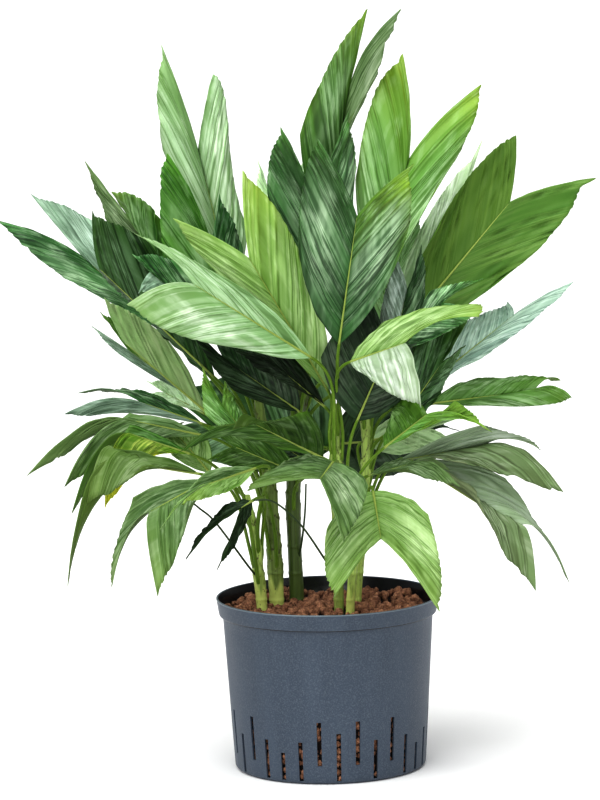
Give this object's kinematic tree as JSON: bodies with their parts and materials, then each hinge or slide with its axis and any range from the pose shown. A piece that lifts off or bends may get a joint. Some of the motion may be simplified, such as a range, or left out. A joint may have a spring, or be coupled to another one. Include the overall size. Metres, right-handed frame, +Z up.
{
  "type": "potted palm with forked fronds",
  "caption": "Clump palm with forked, undivided fronds on slim ringed canes, in clay granules in a slotted dark grey culture pot.",
  "frame": {"origin": "centre of the pot's flat base, on the surface it stands on", "axes": "+Z up the pot's axis; the front of the plant, as seen, faces -Y, and +X is to the viewer's right"},
  "size_m": [0.6501, 0.4756, 0.8421],
  "materials": {
    "pot": "matte, faintly streaked",
    "granules": "rough fired clay",
    "cane": "satin, living",
    "frond": "satin, living leaf"
  },
  "bodies": {
    "root": {"pot": "pot", "granules": "granules", "cane_a": "cane", "cane_b": "cane", "cane_c": "cane", "cane_d": "cane", "cane_e": "cane", "cane_f": "cane", "cane_g": "cane", "frond_a1": "frond", "frond_a2": "frond", "frond_a3": "frond", "frond_a4": "frond", "frond_a5": "frond", "frond_a6": "frond", "frond_a7": "frond", "frond_a8": "frond", "frond_a9": "frond", "frond_a10": "frond", "frond_b1": "frond", "frond_b2": "frond", "frond_b3": "frond", "frond_b4": "frond", "frond_b5": "frond", "frond_b6": "frond", "frond_b7": "frond", "frond_c1": "frond", "frond_c2": "frond", "frond_c3": "frond", "frond_c4": "frond", "frond_c5": "frond", "frond_c6": "frond", "frond_e1": "frond", "frond_e2": "frond", "frond_e3": "frond", "frond_e4": "frond", "frond_e5": "frond", "frond_e6": "frond", "frond_e7": "frond", "frond_e8": "frond", "frond_e9": "frond", "frond_d1": "frond", "frond_f1": "frond", "frond_f2": "frond", "frond_f3": "frond", "frond_f4": "frond", "frond_f5": "frond", "frond_f6": "frond", "frond_f7": "frond", "frond_f8": "frond", "frond_f9": "frond", "frond_f10": "frond", "frond_f11": "frond", "frond_f12": "frond", "frond_g1": "frond", "frond_g2": "frond", "frond_g3": "frond", "frond_g4": "frond", "frond_g5": "frond", "frond_g6": "frond"}
  },
  "joints": []
}
